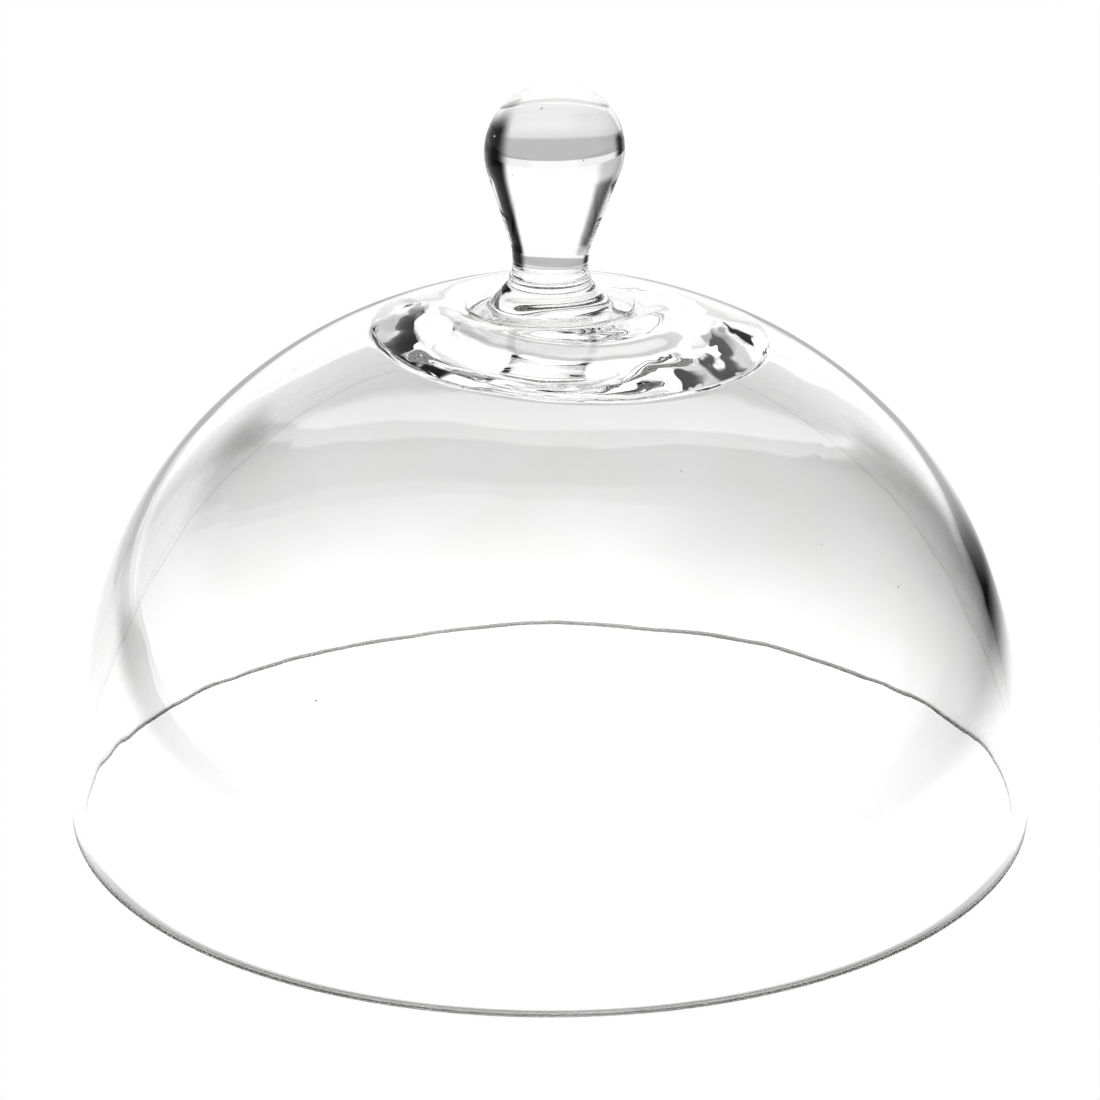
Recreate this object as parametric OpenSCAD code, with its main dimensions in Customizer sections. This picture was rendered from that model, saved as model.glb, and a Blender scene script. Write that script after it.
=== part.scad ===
// Hand-blown clear glass cloche: a dome that stands on its open rim, with a
// solid glass knob joined to its crown through a small flared collar.
// Three pieces of glass, each turned about the same upright axis.
// Origin: centre of the rim's resting plane.  +Z is up.  Millimetres.
// Angles are measured from +Z, so 0 faces straight up and 90 faces outward.

/* [Dome] */
// Outside diameter at the rim
dome_d = 300; // [292:1:308]
// Height that the crown arc would reach on the axis, were the crown not dished
vault_h = 164; // [158:1:168]
// Radius of the crown arc, centred on the axis
crown_r = 152; // [150:1:158]
// Angle at which the crown arc hands over to the shoulder arc
crown_angle = 44; // [38:1:48]
// Radius of the shoulder arc
shoulder_r = 126; // [120:1:132]

/* [Crown dish] */
// Angle at which the crown arc turns over into the crest around the dish
crest_angle = 14; // [14:1:18]
// Radius of the crest
crest_round = 12; // [8:0.5:12.5]
// Steepest slope of the dish's side
dish_slope = 26; // [18:1:27]
// Radius at the foot of the dish's side
dish_round = 6; // [3:0.5:7]

/* [Glass thickness] */
// Wall at the rim
rim_t = 4; // [3:0.5:6]
// Wall that the glass thickens towards over the shoulder
shoulder_t = 7; // [5:0.5:9]
// Angle at which the inner wall meets the flat underside of the crown
pad_angle = 20; // [17:0.5:24]
// Radius of the fire-polished edges of the rim
rim_round = 1; // [0.5:0.1:1.4]

/* [Collar] */
// Height of the collar, from the dish to the joint with the knob
collar_h = 10; // [8:0.5:12]
// Diameter of the collar's top
collar_d = 24.4; // [23.6:0.2:26]
// Radius of the bead around the collar's top
bead_round = 0.7; // [0.4:0.1:0.9]
// Radius of the hollow under the bead
hollow_r = 6; // [4:0.5:8]
// Angle that the collar's cone faces
cone_angle = 49; // [45:1:54]
// Diameter of the thin flange that lies in the dish
flange_d = 51; // [48:0.5:51.5]
// Thickness of the flange
flange_t = 0.8; // [0.6:0.1:1.2]
// Radius between the cone and the flange
cone_round = 2; // [1:0.5:3]

/* [Knob] */
// Height of the knob above its joint with the collar
knob_h = 56.7; // [52:0.5:62]
// Widest diameter of the bulb
knob_d = 41.4; // [39:0.5:46]
// Radius of the bulb's side arc
bulb_r = 19.3; // [17:0.1:19.8]
// Radius of the cap arc on top of the bulb
cap_r = 26.6; // [24:0.5:34]
// Narrowest diameter of the knob, at its waist
waist_d = 22.5; // [20:0.5:23]
// Height of the waist above the joint
waist_h = 3.4; // [2:0.2:5]
// Radius of the waist's concave arc
waist_r = 22; // [16:1:28]

/* [Hidden] */
$fn = 96;
// Farthest that a chord falls inside its arc
chord_gap = 0.03;

// Outer dome: crown, shoulder and side arcs meet tangentially, and the side
// arc stands upright on the rim plane.
dome_r = dome_d / 2;
crown_c = [0, vault_h - crown_r];
shoulder_c = crown_c + (crown_r - shoulder_r) * facing(crown_angle);
inset = shoulder_c.x - dome_r;
side_r = (shoulder_r ^ 2 - inset ^ 2 - shoulder_c.y ^ 2) / (2 * (inset + shoulder_r));
side_c = [dome_r - side_r, 0];
side_angle = atan2(shoulder_c.x - side_c.x, shoulder_c.y - side_c.y);
side_start = 90 - asin(rim_round / side_r);

// Dish: a crest that falls to a flat floor under the collar.
crest_c = crown_c + (crown_r - crest_round) * facing(crest_angle);
dish_c = crest_c + (crest_round + dish_round) * facing(-dish_slope);
dish_z = dish_c.y - dish_round;

// Crown's underside: flat, and it meets the inner wall in a ring.
pad_edge = inner_point(crown_c + crown_r * facing(pad_angle), pad_angle);

// Collar and knob stand on the dish.
joint_z = dish_z + collar_h;
knob_top = joint_z + knob_h;
waist_c = [waist_d / 2 + waist_r, joint_z + waist_h];
joint_angle = acos(waist_h / waist_r);
joint_r = waist_c.x - waist_r * sin(joint_angle);
cap_c = [0, knob_top - cap_r];
cap_angle = asin((knob_d / 2 - bulb_r) / (cap_r - bulb_r));
bulb_c = cap_c + (cap_r - bulb_r) * facing(cap_angle);
waist_dir = waist_c - bulb_c;
taper_angle = atan2(waist_dir.x, waist_dir.y) - acos((bulb_r + waist_r) / norm(waist_dir));

// Unit vector that faces an angle.
function facing(a) = [sin(a), cos(a)];

// Number of chords for an arc.
function chords(r, sweep) = ceil(abs(sweep) / (2 * acos(1 - chord_gap / abs(r))));

// Points of an arc about c, without its first, where the outline already is.
// A negative radius gives a concave arc.
function arc(c, r, a0, a1) =
    let(n = chords(r, a1 - a0))
    [for (i = [1:n]) c + r * facing(a0 + (a1 - a0) * i / n)];

// Wall thickness where the outer face looks along angle a.
function wall(a) = rim_t + (shoulder_t - rim_t) * cos(a);

// Point on the inner face behind the outer point p that faces angle a.
function inner_point(p, a) = p - wall(a) * facing(a);

// Inner face behind an outer arc, without its first point.
function inner_arc(c, r, a0, a1) =
    let(n = chords(r, a1 - a0))
    [for (i = [1:n]) let(a = a0 + (a1 - a0) * i / n) inner_point(c + r * facing(a), a)];

// Half of the dome's section, from the rim up the outside and back down inside.
function dome_outline() = concat(
    [[dome_r - rim_round, 0]],
    arc([dome_r - rim_round, rim_round], rim_round, 180, 90),
    arc(side_c, side_r, side_start, side_angle),
    arc(shoulder_c, shoulder_r, side_angle, crown_angle),
    arc(crown_c, crown_r, crown_angle, crest_angle),
    arc(crest_c, crest_round, crest_angle, -dish_slope),
    arc(dish_c, -dish_round, -dish_slope, 0),
    [[0, dish_z], [0, pad_edge.y], pad_edge],
    inner_arc(crown_c, crown_r, pad_angle, crown_angle),
    inner_arc(shoulder_c, shoulder_r, crown_angle, side_angle),
    inner_arc(side_c, side_r, side_angle, side_start),
    arc([dome_r - rim_t + rim_round, rim_round], rim_round, 270, 180)
);

// Half of the collar's section: a bead, a hollow, a cone and a thin flange.
function collar_outline() =
    let(
        bead_c = [collar_d / 2 - bead_round, joint_z - bead_round],
        bead_end = bead_c + bead_round * facing(joint_angle),
        hollow_c = bead_end + hollow_r * facing(joint_angle),
        flange_z = dish_z + flange_t,
        cone_top = hollow_c - hollow_r * facing(cone_angle),
        cone_drop = cone_top.y - flange_z - cone_round * (1 - cos(cone_angle)),
        cone_foot = cone_top + cone_drop * [1 / tan(cone_angle), -1],
        foot_c = cone_foot + cone_round * facing(cone_angle),
        edge_r = flange_t / 2
    )
    concat(
        [[0, dish_z], [0, joint_z], [bead_c.x, joint_z]],
        arc(bead_c, bead_round, 0, joint_angle),
        arc(hollow_c, -hollow_r, joint_angle, cone_angle),
        [cone_foot],
        arc(foot_c, -cone_round, cone_angle, 0),
        [[flange_d / 2 - edge_r, flange_z]],
        arc([flange_d / 2 - edge_r, flange_z - edge_r], edge_r, 0, 180)
    );

// Half of the knob's section: cap, bulb, straight taper, waist and flat base.
function knob_outline() = concat(
    [[0, joint_z], [joint_r, joint_z]],
    arc(waist_c, -waist_r, joint_angle, taper_angle),
    [bulb_c + bulb_r * facing(taper_angle)],
    arc(bulb_c, bulb_r, taper_angle, cap_angle),
    arc(cap_c, cap_r, cap_angle, 0)
);

module dome() {
    color("ghostwhite")
    rotate_extrude() polygon(dome_outline());
}

module collar() {
    color("whitesmoke")
    rotate_extrude() polygon(collar_outline());
}

module knob() {
    color("gainsboro")
    rotate_extrude() polygon(knob_outline());
}

dome();
collar();
knob();
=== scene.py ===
"""A hand-blown clear glass cloche (dome, collar and knob) on a pale studio floor."""

import math

import bmesh
import bpy
import numpy as np
from mathutils import Matrix, Vector, noise


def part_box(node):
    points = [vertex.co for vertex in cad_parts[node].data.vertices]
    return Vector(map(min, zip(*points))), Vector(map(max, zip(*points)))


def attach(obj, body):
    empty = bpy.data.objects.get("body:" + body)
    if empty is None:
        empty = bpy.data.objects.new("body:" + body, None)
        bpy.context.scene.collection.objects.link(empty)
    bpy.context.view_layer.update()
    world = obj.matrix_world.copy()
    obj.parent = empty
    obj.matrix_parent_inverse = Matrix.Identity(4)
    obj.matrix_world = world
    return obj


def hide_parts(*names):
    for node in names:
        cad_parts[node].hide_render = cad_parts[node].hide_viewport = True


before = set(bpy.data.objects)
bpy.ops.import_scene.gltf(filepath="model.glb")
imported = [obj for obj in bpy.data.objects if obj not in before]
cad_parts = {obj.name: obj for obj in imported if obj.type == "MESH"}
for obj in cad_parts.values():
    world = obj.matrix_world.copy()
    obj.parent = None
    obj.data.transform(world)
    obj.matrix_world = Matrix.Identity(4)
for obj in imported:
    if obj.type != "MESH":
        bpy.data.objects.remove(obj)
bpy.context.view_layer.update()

MM = 0.001

# ---------------------------------------------------------------- sizes, in mm
# Places come from the CAD boxes; the arcs between them repeat the design's.


def corners(node):
    """Lowest and highest corner of a CAD node, in mm."""
    low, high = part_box(node)
    return low / MM, high / MM


DISH_Z = corners("collar")[0].z
JOINT_Z = corners("collar")[1].z
KNOB_TOP = corners("knob")[1].z

# The dome: outer arcs from the rim up, the dish round the collar, and the wall's thickness.
RIM_R = 150.0
RIM_ROUND = 1.0
CROWN_R = 152.0
CROWN_ANGLE = 44.0
SHOULDER_R = 126.0
CREST_ANGLE = 14.0
CREST_ROUND = 12.0
DISH_SLOPE = 26.0
DISH_ROUND = 6.0
RIM_T = 4.0
SHOULDER_T = 7.0
PAD_ANGLE = 20.0            # where the crown's flat underside meets the wall's inner face
VAULT_H = 164.0             # height that the crown's arc would reach on the axis

# The collar and the knob.
BEAD_ROUND = 0.7
HOLLOW_R = 6.0
CONE_ANGLE = 49.0
FLANGE_T = 0.8
CONE_ROUND = 2.0
BULB_R = 19.3
CAP_R = 26.6
WAIST_R = 22.0
WAIST_D = 22.5
WAIST_H = 3.4
KNOB_D = 41.4
COLLAR_D = 24.4
FLANGE_D = 51.0

# What the blowing and the tools leave, in the visual model only.
LONG_WAVE = 0.13            # height of the wall's long waves
OUTER_LONG = 42.0           # and their size on the outer and inner face
INNER_LONG = 45.0
SHORT_WAVE = 0.018
SHORT_SIZE = 12.0
CALM_Z = (2.0, 30.0)        # the waves fade out down to the rim
OUTER_WAVES_R = (40.0, 60.0)  # and in towards the axis
INNER_WAVES_R = (60.0, 90.0)
CEILING_TILT = (-2.4, 0.5)  # of the crown's underside, in degrees along X and Y
CEILING_DROP = 2.9
CEILING_R = 100.0           # the tilt reaches no further than this
TILT_FADE = (58.0, 98.0)
LUMP_H = 0.30
LUMP_SIZE = 17.0
GRAIN_H = 0.05
GRAIN_SIZE = 6.0
LUMPS_R = (4.0, 30.0)
DIMPLE_H = 3.5
DIMPLE_R = (20.0, 44.0)
RING_H = 1.0
RING_SIZE = 20.0
RING_R = (24.0, 40.0)
FRONT_SAG = 0.01
SAG_R = (20.0, 70.0)
KNOB_LEAN = 0.035           # sideways over upwards

# Mesh: pieces of a turn, and steps along a section.
DOME_TURN = 330
KNOB_TURN = 256
STEP = 2.0
CROWN_STEP = 1.5
DISH_STEP = 0.6
FLAT_STEP = 4.0
EDGE_STEP = 0.3
KNOB_STEP = 0.7


def facing(angle):
    """Unit vector in the section plane that faces an angle from +Z, in degrees."""
    a = math.radians(angle)
    return np.array([math.sin(a), math.cos(a)])


def arc(c, r, a0, a1, step):
    """Points of an arc about c, without its first; a negative radius is concave."""
    n = max(3, math.ceil(math.radians(abs(a1 - a0)) * abs(r) / step))
    return [np.asarray(c) + r * facing(a0 + (a1 - a0) * i / n) for i in range(1, n + 1)]


def line(p, q, step):
    """Points from p to q, without p."""
    p, q = np.asarray(p, float), np.asarray(q, float)
    n = max(1, math.ceil(np.linalg.norm(q - p) / step))
    return [p + (q - p) * i / n for i in range(1, n + 1)]


# Outer arcs of the dome.
crown_c = np.array([0.0, VAULT_H - CROWN_R])
shoulder_c = crown_c + (CROWN_R - SHOULDER_R) * facing(CROWN_ANGLE)
inset = shoulder_c[0] - RIM_R
SIDE_R = (SHOULDER_R ** 2 - inset ** 2 - shoulder_c[1] ** 2) / (2 * (inset + SHOULDER_R))
side_c = np.array([RIM_R - SIDE_R, 0.0])
SIDE_ANGLE = math.degrees(math.atan2(*(shoulder_c - side_c)))
SIDE_START = 90 - math.degrees(math.asin(RIM_ROUND / SIDE_R))
crest_c = crown_c + (CROWN_R - CREST_ROUND) * facing(CREST_ANGLE)
dish_c = crest_c + (CREST_ROUND + DISH_ROUND) * facing(-DISH_SLOPE)
FLAT_R = FLANGE_D / 2 - FLANGE_T / 2


def wall(angle):
    """Thickness where the outer face looks along an angle."""
    return RIM_T + (SHOULDER_T - RIM_T) * math.cos(math.radians(angle))


def inner_arc(c, r, a0, a1, step):
    """Inner face behind an outer arc, without its first point."""
    n = max(3, math.ceil(math.radians(abs(a1 - a0)) * r / step))
    out = []
    for i in range(1, n + 1):
        a = a0 + (a1 - a0) * i / n
        out.append(np.asarray(c) + (r - wall(a)) * facing(a))
    return out


def dome_section():
    """Outer face from the rim to the axis, and inner face back to the rim."""
    outer = [np.array([RIM_R - RIM_ROUND, 0.0])]
    outer += arc([RIM_R - RIM_ROUND, RIM_ROUND], RIM_ROUND, 180, 90, EDGE_STEP)
    outer += arc(side_c, SIDE_R, SIDE_START, SIDE_ANGLE, STEP)
    outer += arc(shoulder_c, SHOULDER_R, SIDE_ANGLE, CROWN_ANGLE, STEP)
    outer += arc(crown_c, CROWN_R, CROWN_ANGLE, CREST_ANGLE, STEP)
    outer += arc(crest_c, CREST_ROUND, CREST_ANGLE, -DISH_SLOPE, step=0.8)
    outer += arc(dish_c, -DISH_ROUND, -DISH_SLOPE, 0, DISH_STEP)
    outer += line(outer[-1], [FLAT_R, DISH_Z], step=1.0)
    outer += line([FLAT_R, DISH_Z], [0, DISH_Z], FLAT_STEP)
    pad_edge = crown_c + (CROWN_R - wall(PAD_ANGLE)) * facing(PAD_ANGLE)
    inner = [np.array([0, pad_edge[1]])] + line([0, pad_edge[1]], pad_edge, CROWN_STEP)
    inner += inner_arc(crown_c, CROWN_R, PAD_ANGLE, CROWN_ANGLE, CROWN_STEP)
    inner += inner_arc(shoulder_c, SHOULDER_R, CROWN_ANGLE, SIDE_ANGLE, STEP)
    inner += inner_arc(side_c, SIDE_R, SIDE_ANGLE, SIDE_START, STEP)
    inner += arc([RIM_R - RIM_T + RIM_ROUND, RIM_ROUND], RIM_ROUND, 270, 180, EDGE_STEP)
    return outer, inner


def waist_angles():
    """Angles of the joint, the taper and the cap, and the centres of the waist and the bulb."""
    joint = math.degrees(math.acos(WAIST_H / WAIST_R))
    waist_c = np.array([WAIST_D / 2 + WAIST_R, JOINT_Z + WAIST_H])
    cap = math.degrees(math.asin((KNOB_D / 2 - BULB_R) / (CAP_R - BULB_R)))
    bulb_c = np.array([0, KNOB_TOP - CAP_R]) + (CAP_R - BULB_R) * facing(cap)
    way = waist_c - bulb_c
    taper = math.degrees(math.atan2(*way) - math.acos((BULB_R + WAIST_R) / np.linalg.norm(way)))
    return joint, taper, cap, waist_c, bulb_c


def knob_section():
    """Knob from the middle of its base, up the outside to its top."""
    joint, taper, cap, waist_c, bulb_c = waist_angles()
    joint_r = waist_c[0] - WAIST_R * math.sin(math.radians(joint))
    pts = [np.array([0, JOINT_Z])] + line([0, JOINT_Z], [joint_r, JOINT_Z], step=3.0)
    pts += arc(waist_c, -WAIST_R, joint, taper, KNOB_STEP)
    pts += line(pts[-1], bulb_c + BULB_R * facing(taper), step=0.8)
    pts += arc(bulb_c, BULB_R, taper, cap, KNOB_STEP)
    pts += arc([0, KNOB_TOP - CAP_R], CAP_R, cap, 0, KNOB_STEP)
    return pts


def collar_section():
    """Collar from the middle of its top, down the outside to the middle of its foot."""
    joint = waist_angles()[0]
    bead_c = np.array([COLLAR_D / 2 - BEAD_ROUND, JOINT_Z - BEAD_ROUND])
    bead_end = bead_c + BEAD_ROUND * facing(joint)
    hollow_c = bead_end + HOLLOW_R * facing(joint)
    flange_z = DISH_Z + FLANGE_T
    cone_top = hollow_c - HOLLOW_R * facing(CONE_ANGLE)
    drop = cone_top[1] - flange_z - CONE_ROUND * (1 - math.cos(math.radians(CONE_ANGLE)))
    cone_foot = cone_top + drop * np.array([1 / math.tan(math.radians(CONE_ANGLE)), -1])
    foot_c = cone_foot + CONE_ROUND * facing(CONE_ANGLE)
    edge_r = FLANGE_T / 2
    pts = [np.array([0, JOINT_Z])] + line([0, JOINT_Z], [bead_c[0], JOINT_Z], step=3.0)
    pts += arc(bead_c, BEAD_ROUND, 0, joint, step=0.15)
    pts += arc(hollow_c, -HOLLOW_R, joint, CONE_ANGLE, EDGE_STEP)
    pts += line(pts[-1], cone_foot, step=0.5)
    pts += arc(foot_c, -CONE_ROUND, CONE_ANGLE, 0, step=0.2)
    pts += line(pts[-1], [FLAT_R, flange_z], step=0.4)
    pts += arc([FLAT_R, flange_z - edge_r], edge_r, 0, 180, step=0.12)
    pts += line(pts[-1], [0, DISH_Z], FLAT_STEP)
    return pts


# ---------------------------------------------------------------- meshes
def revolve(name, section, segments, shift):
    """Closed mesh turned about +Z, from a section that starts and ends on the axis or runs
    on into its start.  shift(points, ring_of) moves the points, given in mm; ring_of says
    which point of the section each of them comes from."""
    sec = np.array(section)
    on_axis = np.abs(sec[:, 0]) < 1e-9
    turns = np.arange(segments) * (2 * math.pi / segments)
    verts, rings = [], []
    for (r, z), pole in zip(sec, on_axis):
        if pole:
            rings.append([len(verts)])
            verts.append((0.0, 0.0, z))
        else:
            rings.append(list(range(len(verts), len(verts) + segments)))
            verts.extend((r * math.cos(t), r * math.sin(t), z) for t in turns)
    ring_of = np.concatenate([np.full(len(ring), k) for k, ring in enumerate(rings)])
    verts = shift(np.array(verts), ring_of) * MM
    faces = []
    count = len(rings)
    closing = range(count) if not on_axis[0] else range(count - 1)
    for k in closing:
        a, b = rings[k], rings[(k + 1) % count]
        if len(a) == 1 and len(b) == 1:
            continue
        for i in range(segments):
            j = (i + 1) % segments
            if len(a) == 1:
                faces.append((a[0], b[j], b[i]))
            elif len(b) == 1:
                faces.append((a[i], a[j], b[0]))
            else:
                faces.append((a[i], a[j], b[j], b[i]))
    mesh = bpy.data.meshes.new(name)
    mesh.from_pydata([tuple(v) for v in verts], [], faces)
    bm = bmesh.new()
    bm.from_mesh(mesh)
    bmesh.ops.recalc_face_normals(bm, faces=bm.faces)
    bm.to_mesh(mesh)
    bm.free()
    mesh.shade_smooth()
    obj = bpy.data.objects.new(name, mesh)
    bpy.context.scene.collection.objects.link(obj)
    return obj


# Seeds: how many, their radius, and where they lie.
SEED_STRETCH = 1.4          # height over width
DOME_DRAW = 11              # starts of the random draws
KNOB_DRAW = 5
DOME_SEEDS = 14
DOME_SEED_R = (0.14, 0.32)
DOME_SEED_Z = (25.0, 155.0)
DOME_SEED_INNER = 60.0      # no closer to the axis than this
KNOB_SEEDS = 5
KNOB_SEED_R = (0.10, 0.20)
KNOB_SEED_SPREAD = 9.0
KNOB_SEED_SHIFT = 0.6
KNOB_SEED_RISE = 4.0
SEED_DEPTH = 2.4            # below the dome's outer face

# The dome's faces move towards or away from this point.
SHELL_CENTRE = np.array([0, 0, 40.0])


def add_seeds(obj, places):
    """Small bubbles left in the glass: closed cavities at (centre, radius), given in mm."""
    bm = bmesh.new()
    bm.from_mesh(obj.data)
    for centre, radius in places:
        spot = Matrix.Translation(Vector(centre) * MM) @ Matrix.Diagonal((1.0, 1.0, SEED_STRETCH, 1.0))
        made = bmesh.ops.create_icosphere(bm, subdivisions=2, radius=radius * MM, matrix=spot)
        cavity = {face for vert in made["verts"] for face in vert.link_faces}
        for face in cavity:
            face.smooth = True
        bmesh.ops.reverse_faces(bm, faces=list(cavity))
    bm.to_mesh(obj.data)
    bm.free()


def dome_seeds(count):
    """Seeds scattered in the middle of the dome's wall."""
    draw = np.random.default_rng(DOME_DRAW)
    low, high = DOME_SEED_Z
    wall_points = [p for p in outer if low < p[1] < high and p[0] > DOME_SEED_INNER]
    places = []
    for _ in range(count):
        r, z = wall_points[draw.integers(len(wall_points))]
        turn = draw.uniform(0, 2 * math.pi)
        point = np.array([r * math.cos(turn), r * math.sin(turn), z])
        away = (point - SHELL_CENTRE) / np.linalg.norm(point - SHELL_CENTRE)
        places.append((point - away * SEED_DEPTH, draw.uniform(*DOME_SEED_R)))
    return places


def knob_seeds(count):
    """Seeds scattered inside the knob's bulb."""
    draw = np.random.default_rng(KNOB_DRAW)
    middle = np.array([KNOB_SEED_SHIFT, 0, KNOB_TOP - CAP_R + KNOB_SEED_RISE])
    places = []
    for _ in range(count):
        centre = middle + draw.uniform(-KNOB_SEED_SPREAD, KNOB_SEED_SPREAD, 3)
        places.append((centre, draw.uniform(*KNOB_SEED_R)))
    return places


# ---------------------------------------------------------------- hand-made shape
def still(points, ring_of):
    """The collar keeps its turned shape."""
    return points


def ramp(value, low, high):
    """0 below low, 1 above high, smooth between."""
    t = np.clip((value - low) / (high - low), 0, 1)
    return t * t * (3 - 2 * t)


NOISE_STEP = (17.3, 5.1, 9.7)


def ripple(points, scale, seed):
    """Smooth noise from -1 to 1 over the points; scale is its size in mm, and each seed
    reads another part of the noise."""
    offset = Vector([seed * step for step in NOISE_STEP])
    return np.array([noise.noise(Vector(p) / scale + offset) for p in points])


def vault_z(r):
    """Height of the crown's inner face at a radius.  The wall's thickness depends on where
    the outer face looks, so a few rounds settle it."""
    sin_a = r / CROWN_R
    for _ in range(5):
        reach = CROWN_R - RIM_T - (SHOULDER_T - RIM_T) * np.sqrt(1 - sin_a ** 2)
        sin_a = r / reach
    return crown_c[1] + np.sqrt(reach ** 2 - r ** 2)


def blown(points, ring_of):
    """Hand-blown unevenness of the dome: both faces wander, the outer one only inwards, and
    the crown's underside is lower, tilted, lumpy, ringed and pushed up in the middle."""
    x, y, z = points.T
    r = np.hypot(x, y)
    inside = ring_of >= len(outer)
    away = points - SHELL_CENTRE
    away /= np.linalg.norm(away, axis=1)[:, None]
    calm = ramp(z, *CALM_Z)
    outer_long = ripple(points, OUTER_LONG, 1) - 1
    outer_short = ripple(points, SHORT_SIZE, 2) - 1
    outer_move = LONG_WAVE * outer_long + SHORT_WAVE * outer_short
    outer_move *= calm * ramp(r, *OUTER_WAVES_R)
    inner_move = LONG_WAVE * ripple(points, INNER_LONG, 3) + SHORT_WAVE * ripple(points, SHORT_SIZE, 4)
    inner_move = inner_move * calm * ramp(r, *INNER_WAVES_R)

    tilt_x, tilt_y = np.tan(np.radians(CEILING_TILT))
    crown = inside & (z > shoulder_c[1]) & (r < CEILING_R)
    pull = np.where(crown, 1 - ramp(r, *TILT_FADE), 0)
    reach = CROWN_R - wall(PAD_ANGLE)
    x = x - reach * tilt_x * pull
    y = y - reach * tilt_y * pull
    vault = vault_z(np.where(crown, np.hypot(x, y), 0))
    pad_z = inner[0][1] / math.cos(math.radians(CEILING_TILT[1]))
    lumps = LUMP_H * ripple(points, LUMP_SIZE, 5) + GRAIN_H * ripple(points, GRAIN_SIZE, 6)
    dimple = DIMPLE_H * (1 - ramp(r, *DIMPLE_R))
    rings = RING_H * np.cos(r * 2 * math.pi / RING_SIZE) * (1 - ramp(r, *RING_R))
    ceiling = pad_z - CEILING_DROP + tilt_x * x + tilt_y * y + dimple - rings
    ceiling += lumps * ramp(r, *LUMPS_R) + FRONT_SAG * y * ramp(r, *SAG_R)
    z = np.where(crown, np.minimum(vault, ceiling), z)
    moved = np.stack([x, y, z], axis=1)
    return moved + away * np.where(inside, inner_move, outer_move)[:, None]


def leaning(points, ring_of):
    """The knob leans a little to +X from the joint up."""
    moved = points.copy()
    moved[:, 0] += KNOB_LEAN * (points[:, 2] - JOINT_Z)
    return moved


# ---------------------------------------------------------------- materials
GLASS_IOR = 1.52
TINT_PATCH_MM = 30
HAZE_PATCH_MM = 9
NOISE_MIDDLE = (0.35, 0.65)  # the noise's usual range
HAZE_FROM = (0.5, 0.8)       # noise over which the haze rises

# Places of the fused material and of the worn rim material, whose greyer, less clear glass is painted
# shade where the rim stands on the floor, on every piece; clear glass is at 0.
FUSED_MAT = 1
WORN_SHADED_MAT = 2


def soft_noise(tree, size_mm, detail):
    """Noise over the piece's own coordinates; size_mm is the size of its patches."""
    nodes, links = tree.nodes, tree.links
    place = nodes.new("ShaderNodeTexCoord")
    noise_node = nodes.new("ShaderNodeTexNoise")
    noise_node.inputs["Scale"].default_value = 1 / (size_mm * MM)
    noise_node.inputs["Detail"].default_value = detail
    links.new(place.outputs["Object"], noise_node.inputs["Vector"])
    return noise_node.outputs["Fac"]


def blend_between(tree, fac, low, high):
    """Colour ramp from low to high over the noise's usual range."""
    ramp_node = tree.nodes.new("ShaderNodeValToRGB")
    ramp_node.color_ramp.elements[0].position = NOISE_MIDDLE[0]
    ramp_node.color_ramp.elements[1].position = NOISE_MIDDLE[1]
    ramp_node.color_ramp.elements[0].color = low
    ramp_node.color_ramp.elements[1].color = high
    tree.links.new(fac, ramp_node.inputs[0])
    return ramp_node.outputs["Color"]


def clear_glass(name, full, tint, haze, wave_mm, wave_height, clear=1.0):
    """Glass whose tint, surface haze and faint waves all vary a little over the surface:
    the colour goes from full to tint, haze is the lowest and highest roughness, and clear
    is how much of the light passes through."""
    mat = bpy.data.materials.new(name)
    mat.use_nodes = True
    tree = mat.node_tree
    shader = tree.nodes["Principled BSDF"]
    shader.inputs["IOR"].default_value = GLASS_IOR
    shader.inputs["Transmission Weight"].default_value = clear
    colour = blend_between(tree, soft_noise(tree, TINT_PATCH_MM, 2), full, tint)
    tree.links.new(colour, shader.inputs["Base Color"])
    spread = tree.nodes.new("ShaderNodeMapRange")
    spread.inputs["From Min"].default_value = HAZE_FROM[0]
    spread.inputs["From Max"].default_value = HAZE_FROM[1]
    spread.inputs["To Min"].default_value = haze[0]
    spread.inputs["To Max"].default_value = haze[1]
    tree.links.new(soft_noise(tree, HAZE_PATCH_MM, 3), spread.inputs["Value"])
    tree.links.new(spread.outputs[0], shader.inputs["Roughness"])
    bump = tree.nodes.new("ShaderNodeBump")
    bump.inputs["Distance"].default_value = wave_height * MM
    bump.inputs["Strength"].default_value = 1.0
    tree.links.new(soft_noise(tree, wave_mm, 2), bump.inputs["Height"])
    tree.links.new(bump.outputs[0], shader.inputs["Normal"])
    return mat


def fused_material():
    """Where two pieces are fused there is no surface, so light passes straight on."""
    mat = bpy.data.materials.new("fused_joint")
    mat.use_nodes = True
    nodes = mat.node_tree.nodes
    nodes.clear()
    out = nodes.new("ShaderNodeOutputMaterial")
    clear = nodes.new("ShaderNodeBsdfTransparent")
    mat.node_tree.links.new(clear.outputs[0], out.inputs["Surface"])
    return mat


glass = clear_glass(
    "clear_glass",
    full=(1, 1, 1, 1),
    tint=(0.988, 0.988, 0.986, 1),
    haze=(0.0, 0.010),
    wave_mm=14,
    wave_height=0.010,
)
# The rim's foot: its roughness is real wear, but its greyer base colour and the share of it that lets
# no light through are painted shade where the rim stands on the floor.
worn_and_shaded = clear_glass(
    "worn_rim_painted_shade",
    full=(0.92, 0.92, 0.91, 1),
    tint=(0.80, 0.80, 0.79, 1),
    haze=(0.20, 0.34),
    wave_mm=3.0,
    wave_height=0.01,
    clear=0.6,
)
fused = fused_material()


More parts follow.
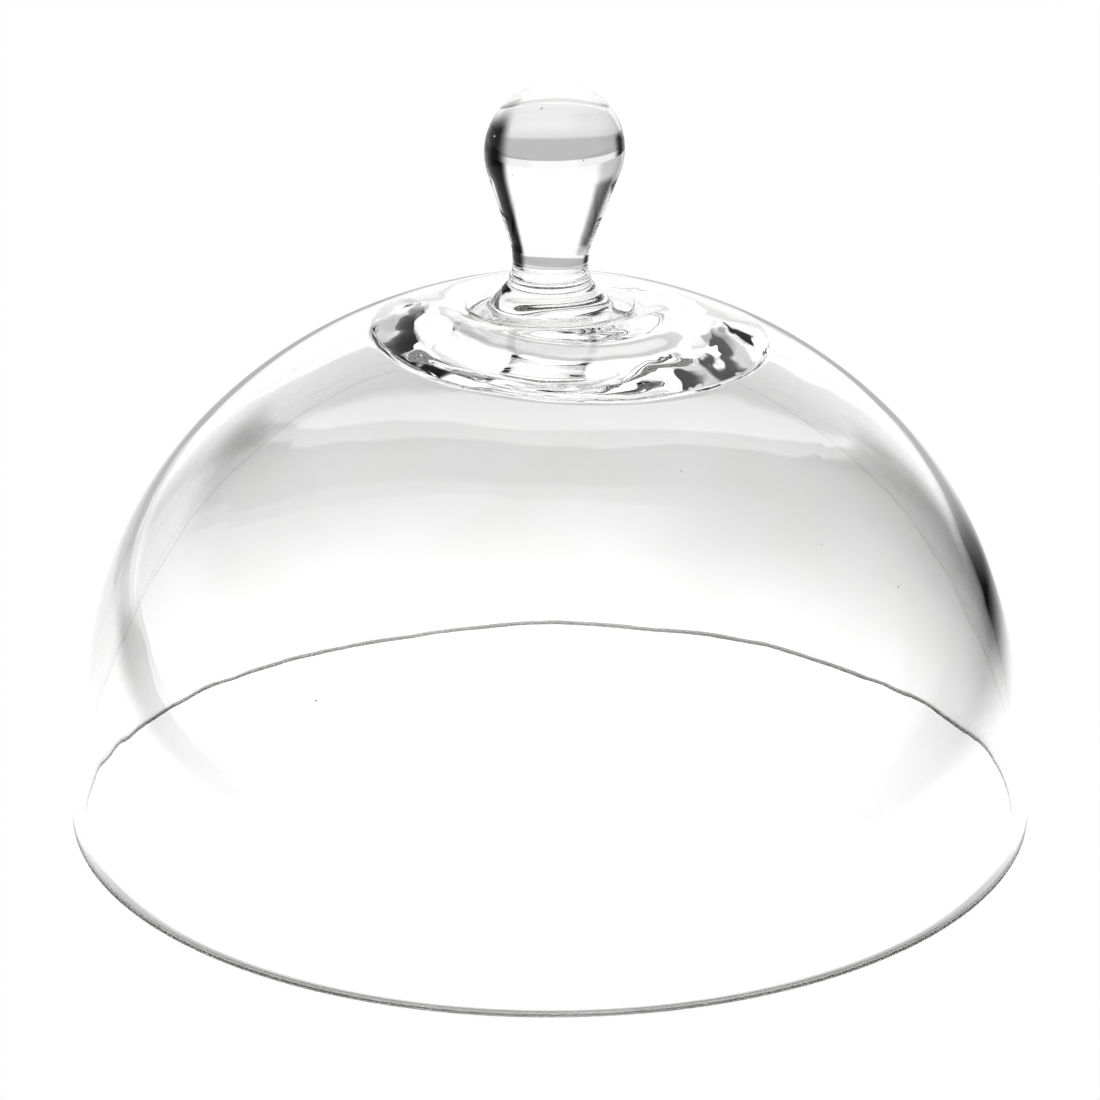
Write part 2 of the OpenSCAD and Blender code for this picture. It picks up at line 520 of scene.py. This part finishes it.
def finish_piece(obj, node, flats):
    """Glass all over, a rough worn foot whose greyer, less clear glass is painted shade where the rim
    stands on the floor, fused faces on the flats (height, radius), and the piece's frame calls."""
    for mat in (glass, fused, worn_and_shaded):
        obj.data.materials.append(mat)
    for poly in obj.data.polygons:
        c = poly.center / MM
        # faces below the rim's round get the worn material, whose grey is painted shade under the rim
        if c.z < RIM_ROUND:
            poly.material_index = WORN_SHADED_MAT
        for z, r in flats:
            if abs(c.z - z) < 1e-3 and math.hypot(c.x, c.y) < r and abs(poly.normal.z) > 0.999:
                poly.material_index = FUSED_MAT
    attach(obj, "root")
    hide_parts(node)


outer, inner = dome_section()
dome = revolve("dome_glass", outer + inner, DOME_TURN, blown)
add_seeds(dome, dome_seeds(DOME_SEEDS))
finish_piece(dome, "dome", [(DISH_Z, FLAT_R)])
collar = revolve("collar_glass", collar_section(), KNOB_TURN, still)
finish_piece(collar, "collar", [(DISH_Z, FLAT_R), (JOINT_Z, COLLAR_D / 2 - BEAD_ROUND)])
knob = revolve("knob_glass", knob_section(), KNOB_TURN, leaning)
add_seeds(knob, knob_seeds(KNOB_SEEDS))
finish_piece(knob, "knob", [(JOINT_Z, COLLAR_D / 2)])

# ---------------------------------------------------------------- studio
# Levels are brightness, with 1.0 for white; lengths are in metres and angles in degrees.
# The camera itself sees white everywhere; the levels are what the glass shows.
BACKDROP = 1.04
BACKDROP_ELEVATION = 41.0   # of the centre of its round top
BACKDROP_HALF = 37.0        # its radius there, and half its width below
BACKDROP_SHIFT = 0.03       # to the right
EDGE_SOFT = 0.5
LOW_SOFT = 9.0              # softness of its sides further down
BORDER = 15.5               # width of the black border
BORDER_SOFT = 0.7
BEYOND_LEVEL = 0.5          # just past the border, except on the right
LEFT_FADE = 32.0            # from the border's end to white
RIGHT_FADE = 55.0
PINCH_LEFT = 0.10           # how far the round top is drawn in at each side
PINCH_RIGHT = 0.06
LOW_LEFT_LEVEL = 0.8        # the least low on the left, past the backdrop
FAR_LEFT_LEVEL = 0.2        # and the least on the far left at any height

# Stretches of a unit direction's components over which the studio changes.
PINCH_LEFT_X = (-0.35, 0.05)
PINCH_RIGHT_X = (0.05, 0.35)
PINCH_ABOVE = (0.0, 0.6)
LOW_ABOVE = (-0.35, -0.1)
RIGHT_X = (0.2, 0.6)
LOW_LEFT_X = (-0.45, -0.3)
LOW_LEFT_Z = (0.15, 0.4)
FAR_LEFT_X = (-0.55, -0.25)

FLOOR_R = 8.0
FLOOR_Z = -0.0003
FLOOR_SIDES = 128

# The table's level under the dome, past it and far off, and the distances between them.
NEAR_FLOOR = 1.11
MID_FLOOR = 0.94
LAST_FLOOR = 0.80
NEAR_REACH = (0.08, 0.38)
FADE_REACH = (0.38, 0.42)
KNOB_EYE = 0.2              # height of the knob, which sets how fast the table seems to fade
FADE_SLOPE = (0.2, 0.5)     # that height over the distance, while the table fades
TABLE_END = 0.62
TABLE_SOFT = 0.04
FAR_FLOOR = 0.72            # level between the table's end and the backdrop
BACKDROP_REACH = 1.9
BACKDROP_SOFT = 0.1

# Dark floor at both sides: bearings from straight back, and the reach over which each starts.
RIGHT_SIDE = (36.0, 140.0)
RIGHT_REACH = (0.22, 0.5)
LEFT_SIDE = (-140.0, -54.0)
LEFT_REACH = (0.55, 0.8)
SIDE_SOFT = 8.0
SIDE_DARK = 0.03
SIDE_THROUGH = 0.62         # the same floor seen through both walls of the dome
BOTH_WALLS = 4.0            # glass surfaces crossed by then

# Contact shadow, met only by light that has come from close by.
RIM_SHADOW = 0.66           # what is left of the floor's level
SHADOW_RING = (0.1428, 0.1505)
SHADOW_SOFT = 0.0008
SHADOW_RANGE = (0.008, 0.014)


class Graph:
    """Small helper that adds math nodes to a node tree."""

    def __init__(self, tree):
        self.tree = tree

    def node(self, kind, **props):
        """A new node with its settings."""
        n = self.tree.nodes.new(kind)
        for key, value in props.items():
            setattr(n, key, value)
        return n

    def plug(self, socket, value):
        """Link an output to a socket, or set the socket to a number."""
        if isinstance(value, bpy.types.NodeSocket):
            self.tree.links.new(value, socket)
        else:
            socket.default_value = value

    def math(self, operation, *values):
        """Output of a math node."""
        n = self.node("ShaderNodeMath", operation=operation)
        for socket, value in zip(n.inputs, values):
            self.plug(socket, value)
        return n.outputs[0]

    def ease(self, value, low, high, to_low=0.0, to_high=1.0):
        """Smooth step from to_low, at low, to to_high, at high."""
        n = self.node("ShaderNodeMapRange", interpolation_type="SMOOTHSTEP")
        for socket, v in zip(n.inputs, (value, low, high, to_low, to_high)):
            self.plug(socket, v)
        return n.outputs[0]

    def band(self, value, low, high, soft):
        """1 between low and high, 0 outside, with soft edges."""
        up = self.ease(value, low - soft, low + soft)
        down = self.ease(value, high - soft, high + soft, 1.0, 0.0)
        return self.math("MULTIPLY", up, down)

    def mix(self, fac, a, b):
        """a where fac is 0, b where it is 1."""
        span = self.math("SUBTRACT", b, a)
        return self.math("MULTIPLY_ADD", fac, span, a)


def backdrop_angle(g, x, y, z):
    """How far a unit direction is from the middle of the backdrop, in degrees: sideways
    below its centre, and all round above it; and how far above the centre it is."""
    rise = math.radians(BACKDROP_ELEVATION)
    ahead = g.math("ADD", g.math("MULTIPLY", y, math.cos(rise)), g.math("MULTIPLY", z, math.sin(rise)))
    above_z = g.math("MULTIPLY", z, math.cos(rise))
    above = g.math("SUBTRACT", above_z, g.math("MULTIPLY", y, math.sin(rise)))
    at_left = g.ease(x, *PINCH_LEFT_X, PINCH_LEFT, 0.0)
    at_right = g.ease(x, *PINCH_RIGHT_X, 0.0, PINCH_RIGHT)
    pinch = g.math("MULTIPLY", g.ease(above, *PINCH_ABOVE), g.math("SUBTRACT", at_left, at_right))
    aside = g.math("SUBTRACT", g.math("SUBTRACT", x, BACKDROP_SHIFT), pinch)
    squares = g.math("ADD", g.math("MULTIPLY", aside, aside), g.math("MULTIPLY", above, above))
    all_round = g.math("DEGREES", g.math("ARCTAN2", g.math("SQRT", squares), ahead))
    sideways = g.math("DEGREES", g.math("ARCSINE", g.math("ABSOLUTE", aside)))
    return g.mix(g.math("GREATER_THAN", above, 0.0), sideways, all_round), above


def studio_light(g, x, y, z):
    """Brightness along a unit direction: a round-topped white backdrop behind the table, a
    black border round it, and lighter again beyond, sooner on the left than on the right.
    The left side is never quite black."""
    angle, above = backdrop_angle(g, x, y, z)
    soft = g.ease(above, *LOW_ABOVE, LOW_SOFT, EDGE_SOFT)
    edge = g.ease(angle, g.math("SUBTRACT", BACKDROP_HALF, soft), BACKDROP_HALF + EDGE_SOFT)
    right = g.ease(x, *RIGHT_X)
    border_end = BACKDROP_HALF + BORDER
    fade_end = g.mix(right, border_end + LEFT_FADE, border_end + RIGHT_FADE)
    step_up = g.ease(angle, border_end - BORDER_SOFT, border_end + BORDER_SOFT, 0.0, BEYOND_LEVEL)
    fade_up = g.ease(angle, border_end, fade_end, 0.0, BEYOND_LEVEL)
    right_fade = g.math("DIVIDE", fade_up, BEYOND_LEVEL)
    beyond = g.math("ADD", g.mix(right, step_up, 0.0), g.mix(right, fade_up, right_fade))
    low = g.ease(z, *LOW_LEFT_Z, 1.0, 0.0)
    low_left = g.math("MULTIPLY", g.ease(x, *LOW_LEFT_X, 1.0, 0.0), low)
    beyond = g.mix(low_left, beyond, g.math("MAXIMUM", beyond, LOW_LEFT_LEVEL))
    far_left = g.ease(x, *FAR_LEFT_X, FAR_LEFT_LEVEL, 0.0)
    return g.mix(edge, 1.0, g.math("MAXIMUM", beyond, far_left))


def floor_light(g, x, y, path):
    """Brightness of the floor at x, y: a pale table that fades away from the dome, a greyer
    floor past its end, white from the backdrop on, dark sides and the rim's shadow."""
    reach = g.math("SQRT", g.math("ADD", g.math("MULTIPLY", x, x), g.math("MULTIPLY", y, y)))
    near = g.ease(reach, *NEAR_REACH, NEAR_FLOOR, MID_FLOOR)
    fade = g.ease(g.math("DIVIDE", KNOB_EYE, reach), *FADE_SLOPE, LAST_FLOOR, MID_FLOOR)
    table = g.mix(g.ease(reach, *FADE_REACH), near, fade)
    level = g.mix(g.ease(reach, TABLE_END - TABLE_SOFT, TABLE_END + TABLE_SOFT), table, FAR_FLOOR)
    at_backdrop = g.ease(reach, BACKDROP_REACH - BACKDROP_SOFT, BACKDROP_REACH + BACKDROP_SOFT)
    level = g.mix(at_backdrop, level, 1.0)
    bearing = g.math("DEGREES", g.math("ARCTAN2", x, y))
    right = g.math("MULTIPLY", g.band(bearing, *RIGHT_SIDE, SIDE_SOFT), g.ease(reach, *RIGHT_REACH))
    left = g.math("MULTIPLY", g.band(bearing, *LEFT_SIDE, SIDE_SOFT), g.ease(reach, *LEFT_REACH))
    through = g.math("COMPARE", path["Transmission Depth"], BOTH_WALLS, 0.5)
    level = g.mix(g.math("MAXIMUM", right, left), level, g.mix(through, SIDE_DARK, SIDE_THROUGH))
    touching = g.ease(path["Ray Length"], *SHADOW_RANGE, 1.0, 0.0)
    shadow = g.math("MULTIPLY", touching, g.band(reach, *SHADOW_RING, SHADOW_SOFT))
    return g.math("MULTIPLY", level, g.mix(shadow, 1.0, RIM_SHADOW))


def make_floor():
    """A disc of floor just under the rim, which the camera sees as white."""
    mesh = bpy.data.meshes.new("floor")
    turns = np.arange(FLOOR_SIDES) * (2 * math.pi / FLOOR_SIDES)
    ring = [(FLOOR_R * math.cos(t), FLOOR_R * math.sin(t), FLOOR_Z) for t in turns]
    mesh.from_pydata(ring, [], [tuple(range(FLOOR_SIDES))])
    obj = bpy.data.objects.new("floor", mesh)
    bpy.context.scene.collection.objects.link(obj)
    mat = bpy.data.materials.new("floor_white")
    mat.use_nodes = True
    mat.node_tree.nodes.clear()
    g = Graph(mat.node_tree)
    place = g.node("ShaderNodeNewGeometry").outputs["Position"]
    split = g.node("ShaderNodeSeparateXYZ")
    g.plug(split.inputs[0], place)
    path = g.node("ShaderNodeLightPath").outputs
    level = floor_light(g, split.outputs["X"], split.outputs["Y"], path)
    glow = g.node("ShaderNodeEmission")
    g.plug(glow.inputs["Strength"], g.mix(path["Is Camera Ray"], level, 1.0))
    out = g.node("ShaderNodeOutputMaterial")
    g.plug(out.inputs["Surface"], glow.outputs[0])
    mesh.materials.append(mat)


def make_world():
    """The studio round the table, which the camera sees as white."""
    world = bpy.data.worlds.new("studio")
    bpy.context.scene.world = world
    world.use_nodes = True
    world.node_tree.nodes.clear()
    g = Graph(world.node_tree)
    split = g.node("ShaderNodeSeparateXYZ")
    g.plug(split.inputs[0], g.node("ShaderNodeTexCoord").outputs["Generated"])
    x, y, z = split.outputs
    level = g.math("MULTIPLY", studio_light(g, x, y, z), BACKDROP)
    seen = g.node("ShaderNodeLightPath").outputs["Is Camera Ray"]
    back = g.node("ShaderNodeBackground")
    back.inputs["Color"].default_value = (1, 1, 1, 1)
    g.plug(back.inputs["Strength"], g.mix(seen, level, 1.0))
    out = g.node("ShaderNodeOutputWorld")
    g.plug(out.inputs["Surface"], back.outputs[0])


make_floor()
make_world()

# ---------------------------------------------------------------- camera
VIEW_DISTANCE = 0.95
VIEW_ELEVATION = 24.75
VIEW_PITCH = 20.22
LENS = 97.5
SENSOR = 36
VIEW_GAMMA = 0.45
BOUNCES = 32

cam_data = bpy.data.cameras.new("camera")
cam_data.lens = LENS
cam_data.sensor_width = SENSOR
camera = bpy.data.objects.new("camera", cam_data)
elevation = math.radians(VIEW_ELEVATION)
camera.location = (0, -VIEW_DISTANCE * math.cos(elevation), VIEW_DISTANCE * math.sin(elevation))
camera.rotation_euler = (math.radians(90 - VIEW_PITCH), 0, 0)
bpy.context.scene.collection.objects.link(camera)
bpy.context.scene.camera = camera

scene = bpy.context.scene
scene.view_settings.view_transform = "Standard"
scene.view_settings.gamma = VIEW_GAMMA
scene.cycles.max_bounces = BOUNCES
scene.cycles.transmission_bounces = BOUNCES
scene.cycles.glossy_bounces = BOUNCES
scene.cycles.transparent_max_bounces = BOUNCES
